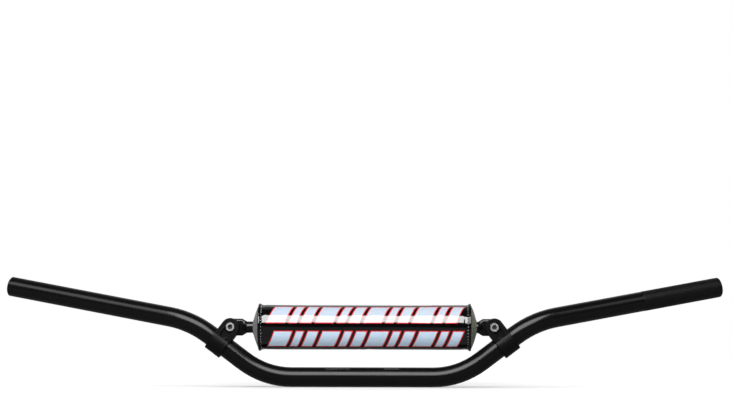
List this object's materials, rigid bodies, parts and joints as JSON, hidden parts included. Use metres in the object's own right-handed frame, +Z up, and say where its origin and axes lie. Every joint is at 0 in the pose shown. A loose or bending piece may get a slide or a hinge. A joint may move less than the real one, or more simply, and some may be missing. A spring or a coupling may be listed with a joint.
{
  "type": "handlebar",
  "caption": "Off-road motorcycle handlebar: bent aluminium tube with a clamped crossbar and a round foam bar pad with a hook-and-loop cover.",
  "frame": {"origin": "on the main tube's axis, in the middle of the straight centre that the stem clamps hold", "axes": "+X along the bar to the rider's left hand, +Y rearward to the rider, +Z up"},
  "size_m": [0.818, 0.0895, 0.1248],
  "materials": {
    "anodised_black": "satin",
    "forged_black": "satin",
    "screw_steel": "gloss",
    "zinc_steel": "satin",
    "nylon": "matte",
    "foam": "matte",
    "vinyl": "gloss",
    "binding": "satin",
    "end_cloth_left": "matte",
    "end_cloth_right": "matte",
    "hook_tape": "matte",
    "loop_tape": "matte"
  },
  "bodies": {
    "bar": {"main_tube": "anodised_black", "crossbar": "anodised_black", "clamp_left": "forged_black", "clamp_right": "forged_black", "clamp_screw_left": "screw_steel", "clamp_screw_right": "screw_steel", "clamp_washer_left": "zinc_steel", "clamp_washer_right": "zinc_steel", "clamp_nut_left": "zinc_steel", "clamp_nut_right": "zinc_steel", "nut_insert_left": "nylon", "nut_insert_right": "nylon"},
    "pad_core": {"foam_core": "foam"},
    "pad_cover": {"pad_cover": "vinyl", "hook_strip": "hook_tape", "end_binding_left": "binding", "end_binding_right": "binding", "end_panel_left": "end_cloth_left", "end_panel_right": "end_cloth_right"},
    "closure_flap": {"closure_flap": "vinyl", "loop_strip": "loop_tape"}
  },
  "joints": [
    {"name": "pad_slide", "type": "slide", "parent": "bar", "child": "pad_core", "axis": [1, 0, 0], "range_m": [-0.0054, 0]},
    {"name": "cover_turn", "type": "hinge", "parent": "pad_core", "child": "pad_cover", "pos_m": [0.0027, 0, 0.0557], "axis": [1, 0, 0], "continuous": true},
    {"name": "flap_peel", "type": "hinge", "parent": "pad_cover", "child": "closure_flap", "pos_m": [0.0027, 0.0198, 0.07232], "axis": [1, 0, 0], "range_deg": [0, 120]}
  ]
}
